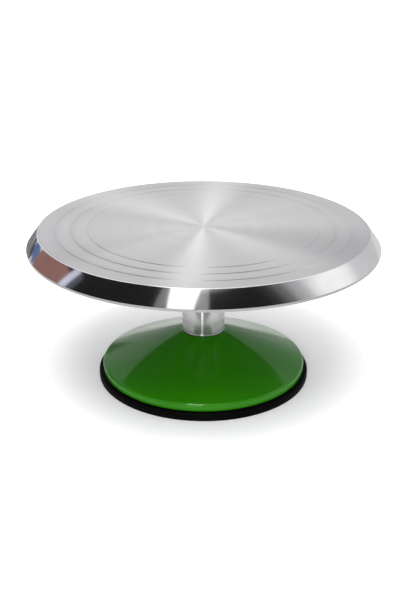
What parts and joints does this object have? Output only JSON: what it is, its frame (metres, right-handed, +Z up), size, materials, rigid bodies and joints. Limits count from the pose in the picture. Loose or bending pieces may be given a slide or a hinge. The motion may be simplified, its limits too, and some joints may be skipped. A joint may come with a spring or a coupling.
{
  "type": "cake turntable",
  "caption": "Round aluminium cake decorating plate with concentric grooves that spins on a polished column, on a green conical base with a black rubber ring.",
  "frame": {"origin": "centre of the foot ring on the table, on the turning axis", "axes": "+Z up along the turning axis; -Y towards the viewer"},
  "size_m": [0.305, 0.305, 0.139],
  "materials": {
    "turned_aluminium": "face turned in fine concentric lines, bevel polished",
    "polished_aluminium": "turned and polished",
    "cast_aluminium": "machined casting, satin",
    "green_paint": "gloss green paint",
    "black_rubber": "satin black rubber",
    "bearing_steel": "ground and polished bearing steel",
    "cage_steel": "pressed steel",
    "shield_rubber": "matt black rubber seal",
    "spindle_steel": "ground steel",
    "spring_steel": "phosphated spring steel",
    "zinc_steel": "zinc plated steel",
    "black_steel": "black oxide steel"
  },
  "bodies": {
    "base": {"base_shell": "green_paint", "rubber_foot_ring": "black_rubber", "column": "polished_aluminium", "column_screw_1": "black_steel", "column_screw_2": "black_steel", "column_screw_3": "black_steel", "column_washer_1": "zinc_steel", "column_washer_2": "zinc_steel", "column_washer_3": "zinc_steel", "outer_spacer": "zinc_steel", "bearing_circlip": "spring_steel", "upper_bearing_outer_race": "bearing_steel", "upper_bearing_shield_bottom": "shield_rubber", "upper_bearing_shield_top": "shield_rubber", "lower_bearing_outer_race": "bearing_steel", "lower_bearing_shield_bottom": "shield_rubber", "lower_bearing_shield_top": "shield_rubber"},
    "plate": {"turntable_plate": "turned_aluminium", "plate_hub": "cast_aluminium", "hub_screw_1": "black_steel", "hub_screw_2": "black_steel", "hub_screw_3": "black_steel", "hub_screw_4": "black_steel", "spindle": "spindle_steel", "inner_spacer": "zinc_steel", "spindle_washer": "zinc_steel", "spindle_bolt": "zinc_steel", "upper_bearing_inner_race": "bearing_steel", "lower_bearing_inner_race": "bearing_steel"},
    "upper_cage": {"upper_bearing_cage": "cage_steel", "upper_bearing_ball_1": "bearing_steel", "upper_bearing_ball_2": "bearing_steel", "upper_bearing_ball_3": "bearing_steel", "upper_bearing_ball_4": "bearing_steel", "upper_bearing_ball_5": "bearing_steel", "upper_bearing_ball_6": "bearing_steel", "upper_bearing_ball_7": "bearing_steel"},
    "lower_cage": {"lower_bearing_cage": "cage_steel", "lower_bearing_ball_1": "bearing_steel", "lower_bearing_ball_2": "bearing_steel", "lower_bearing_ball_3": "bearing_steel", "lower_bearing_ball_4": "bearing_steel", "lower_bearing_ball_5": "bearing_steel", "lower_bearing_ball_6": "bearing_steel", "lower_bearing_ball_7": "bearing_steel"}
  },
  "joints": [
    {"name": "plate_spin", "type": "hinge", "parent": "base", "child": "plate", "pos_m": [0, 0, 0.139], "axis": [0, 0, 1], "continuous": true},
    {"name": "upper_cage_spin", "type": "hinge", "parent": "base", "child": "upper_cage", "pos_m": [0, 0, 0.1093], "axis": [0, 0, 1], "continuous": true},
    {"name": "lower_cage_spin", "type": "hinge", "parent": "base", "child": "lower_cage", "pos_m": [0, 0, 0.0633], "axis": [0, 0, 1], "continuous": true}
  ],
  "couplings": [
    {"joint": "upper_cage_spin", "follows": "plate_spin", "ratio": 0.3647},
    {"joint": "lower_cage_spin", "follows": "plate_spin", "ratio": 0.3647}
  ]
}
